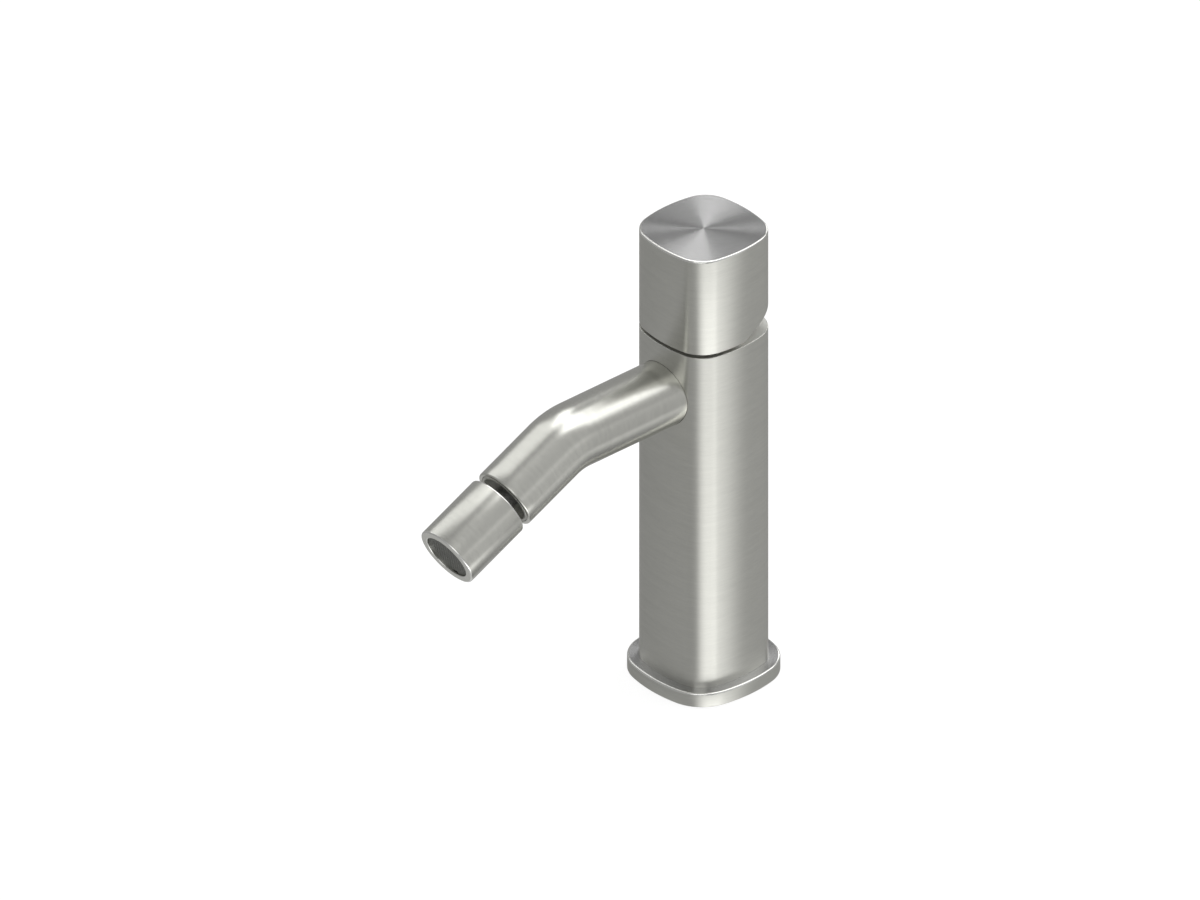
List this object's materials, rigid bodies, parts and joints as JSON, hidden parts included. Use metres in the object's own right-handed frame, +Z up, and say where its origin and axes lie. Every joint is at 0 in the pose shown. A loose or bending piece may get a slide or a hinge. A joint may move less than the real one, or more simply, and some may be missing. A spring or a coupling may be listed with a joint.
{
  "type": "bidet mixer",
  "caption": "Single-lever bidet mixer: bulged square column on a flange, tilting and turning knob, bent spout and a swivelling ball-joint nozzle.",
  "frame": {"origin": "centre of the column's axis at the flange's underside, on the deck", "axes": "+Z up along the column, -Y along the spout's root towards the user, +X to the right when seen from behind the spout"},
  "size_m": [0.0484, 0.1494, 0.1795],
  "materials": {
    "brushed_steel": "fine brushed",
    "bright_steel": "turned",
    "brass": "machined",
    "plastic": "moulded",
    "dark_plastic": "moulded",
    "ceramic": "lapped",
    "rubber": "matt"
  },
  "bodies": {
    "tap": {"base_flange": "brushed_steel", "flange_gasket": "rubber", "column_shell": "brushed_steel", "valve_core": "brass", "cover_ring": "brushed_steel", "spout_nipple": "brass", "nipple_o_ring": "rubber", "spout_tube": "brushed_steel", "nozzle_socket": "brushed_steel", "cartridge_base": "plastic", "inlet_seals": "rubber", "disc_seals": "rubber", "fixed_disc": "ceramic", "cartridge_housing": "plastic", "cartridge_o_ring": "rubber", "cartridge_nut": "brass"},
    "rotor": {"cartridge_rotor": "plastic", "pivot_pin": "bright_steel"},
    "knob_head": {"control_stem": "bright_steel", "knob": "brushed_steel", "knob_insert": "brass", "knob_grub_screw": "bright_steel"},
    "flow_slider": {"disc_carrier": "plastic", "moving_disc": "ceramic"},
    "swivel": {"ball_stem": "bright_steel", "stem_clip": "bright_steel", "stem_o_ring": "rubber"},
    "nozzle": {"nozzle_housing": "brushed_steel", "ball_seat": "plastic", "ball_seal": "rubber", "seal_seat": "plastic", "seat_nut": "brass", "aerator_gasket": "rubber", "flow_regulator": "plastic", "aerator_screens": "bright_steel", "aerator_housing": "dark_plastic", "aerator_grille": "dark_plastic"}
  },
  "joints": [
    {"name": "knob_turn", "type": "hinge", "parent": "tap", "child": "rotor", "pos_m": [0, 0, 0.135], "axis": [0, 0, 1], "range_deg": [-50, 50]},
    {"name": "knob_tilt", "type": "hinge", "parent": "rotor", "child": "knob_head", "pos_m": [0, 0, 0.135], "axis": [-1, 0, 0], "range_deg": [0, 25]},
    {"name": "flow_slide", "type": "slide", "parent": "rotor", "child": "flow_slider", "axis": [0, -1, 0], "range_m": [0, 0.00475]},
    {"name": "nozzle_swivel", "type": "hinge", "parent": "tap", "child": "swivel", "pos_m": [0, -0.1024, 0.10318], "axis": [0, -0.9063, -0.4226], "continuous": true},
    {"name": "nozzle_tilt", "type": "hinge", "parent": "swivel", "child": "nozzle", "pos_m": [0, -0.1024, 0.10318], "axis": [1, 0, 0], "range_deg": [-12, 12]}
  ],
  "couplings": [
    {"joint": "flow_slide", "follows": "knob_tilt", "m_per_rad": 0.0108}
  ]
}
